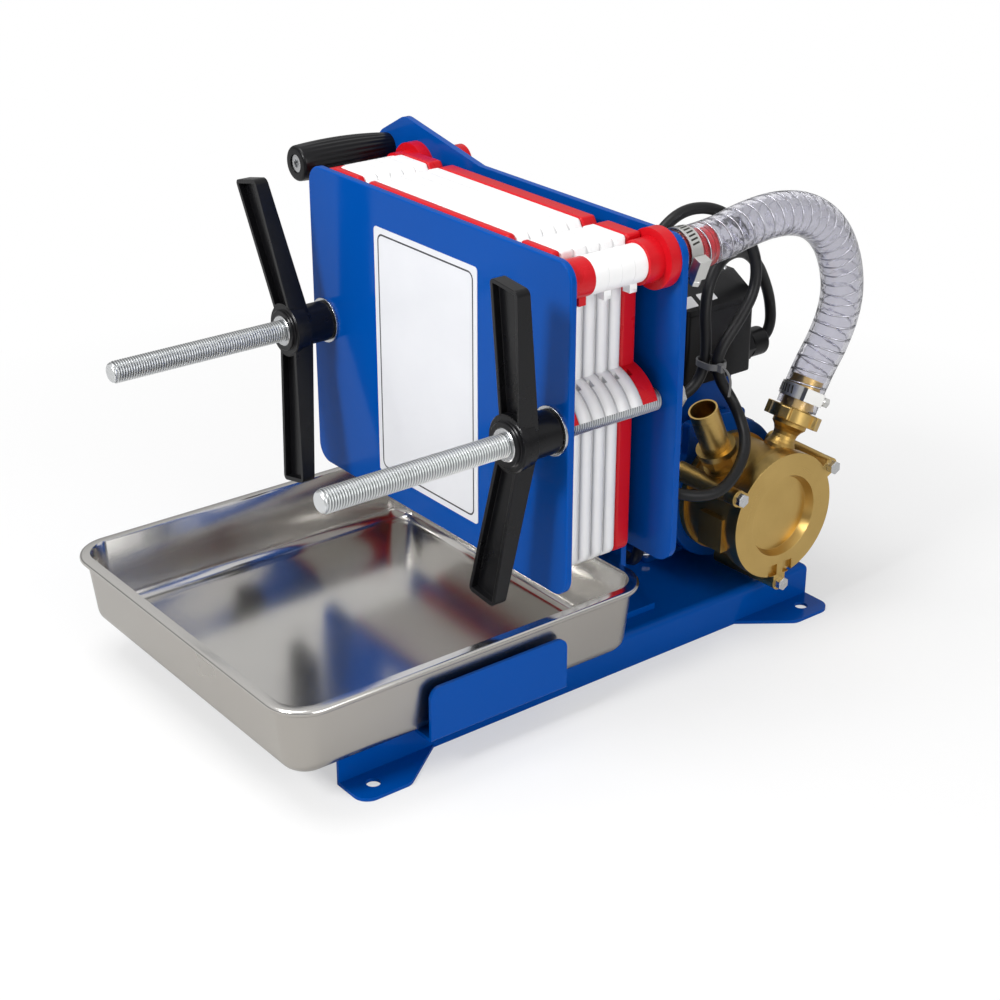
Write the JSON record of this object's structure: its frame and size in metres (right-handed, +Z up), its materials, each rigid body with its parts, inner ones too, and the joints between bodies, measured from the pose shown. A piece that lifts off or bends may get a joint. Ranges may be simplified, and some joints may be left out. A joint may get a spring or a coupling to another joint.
{
  "type": "plate filter press",
  "caption": "Hand-screwed plate filter press for liquids on a folded steel base, with drip tray, electric pump and clear hose.",
  "frame": {"origin": "on the floor, in the middle of the four foot holes", "axes": "+Z up, +Y from the drip tray towards the pump, +X to the right seen from the drip tray"},
  "size_m": [0.3481, 0.5202, 0.348],
  "materials": {
    "blue_paint": "gloss powder coat",
    "motor_paint": "satin paint",
    "stainless": "satin pressed sheet",
    "zinc": "bright zinc plate",
    "clamp_steel": "bright strip",
    "black_plastic": "satin moulded",
    "white_plastic": "satin moulded",
    "red_plastic": "satin moulded",
    "brass": "cast and turned",
    "label_film": "satin film",
    "clear_pvc": "clear, wire reinforced",
    "black_rubber": "matt"
  },
  "bodies": {
    "root": {"base_channel": "blue_paint", "rear_plate": "blue_paint", "motor_body": "motor_paint", "motor_shield": "motor_paint", "motor_foot": "motor_paint", "drip_tray": "stainless", "threaded_rod_left": "zinc", "threaded_rod_right": "zinc", "rod_nut_left": "zinc", "rod_nut_right": "zinc", "grip_bolt": "zinc", "cover_bolts": "zinc", "hose_clamp_lower": "clamp_steel", "hose_clamp_upper": "clamp_steel", "carry_grip": "black_plastic", "fan_cover": "black_plastic", "terminal_box": "black_plastic", "terminal_box_lid": "black_plastic", "cable_gland": "black_plastic", "cable_tie": "black_plastic", "end_plate_rear": "red_plastic", "inlet_tail": "red_plastic", "outlet_tail": "red_plastic", "pump_body": "brass", "pump_cover": "brass", "suction_tail": "brass", "discharge_neck": "brass", "discharge_nut": "brass", "discharge_tail": "brass", "clear_hose": "clear_pvc", "power_cable": "black_rubber", "power_plug": "black_rubber"},
    "press": {"press_plate": "blue_paint", "label_plate": "label_film", "washer_left": "zinc", "washer_right": "zinc"},
    "handle_left": {"wing_handle_left": "black_plastic"},
    "handle_right": {"wing_handle_right": "black_plastic"},
    "pack_front": {"end_plate_front": "red_plastic"},
    "pack_plate_1": {"filter_plate_1": "white_plastic"},
    "pack_plate_2": {"filter_plate_2": "white_plastic"},
    "pack_plate_3": {"filter_plate_3": "white_plastic"},
    "pack_plate_4": {"filter_plate_4": "white_plastic"},
    "pack_plate_5": {"filter_plate_5": "white_plastic"}
  },
  "joints": [
    {"name": "press_slide", "type": "slide", "parent": "root", "child": "press", "axis": [0, -1, 0], "range_m": [0, 0.084]},
    {"name": "pack_front_slide", "type": "slide", "parent": "root", "child": "pack_front", "axis": [0, -1, 0], "range_m": [0, 0.0725]},
    {"name": "pack_plate_1_slide", "type": "slide", "parent": "root", "child": "pack_plate_1", "axis": [0, -1, 0], "range_m": [0, 0.0605]},
    {"name": "pack_plate_2_slide", "type": "slide", "parent": "root", "child": "pack_plate_2", "axis": [0, -1, 0], "range_m": [0, 0.0485]},
    {"name": "pack_plate_3_slide", "type": "slide", "parent": "root", "child": "pack_plate_3", "axis": [0, -1, 0], "range_m": [0, 0.0365]},
    {"name": "pack_plate_4_slide", "type": "slide", "parent": "root", "child": "pack_plate_4", "axis": [0, -1, 0], "range_m": [0, 0.0245]},
    {"name": "pack_plate_5_slide", "type": "slide", "parent": "root", "child": "pack_plate_5", "axis": [0, -1, 0], "range_m": [0, 0.0125]},
    {"name": "handle_left_turn", "type": "hinge", "parent": "press", "child": "handle_left", "pos_m": [-0.133, -0.07, 0.212], "axis": [0, -1, 0], "continuous": true},
    {"name": "handle_right_turn", "type": "hinge", "parent": "press", "child": "handle_right", "pos_m": [0.133, -0.07, 0.212], "axis": [0, -1, 0], "continuous": true}
  ],
  "couplings": [
    {"joint": "pack_front_slide", "follows": "press_slide", "ratio": 0.85714},
    {"joint": "pack_plate_1_slide", "follows": "press_slide", "ratio": 0.71429},
    {"joint": "pack_plate_2_slide", "follows": "press_slide", "ratio": 0.57143},
    {"joint": "pack_plate_3_slide", "follows": "press_slide", "ratio": 0.42857},
    {"joint": "pack_plate_4_slide", "follows": "press_slide", "ratio": 0.28571},
    {"joint": "pack_plate_5_slide", "follows": "press_slide", "ratio": 0.14286}
  ]
}
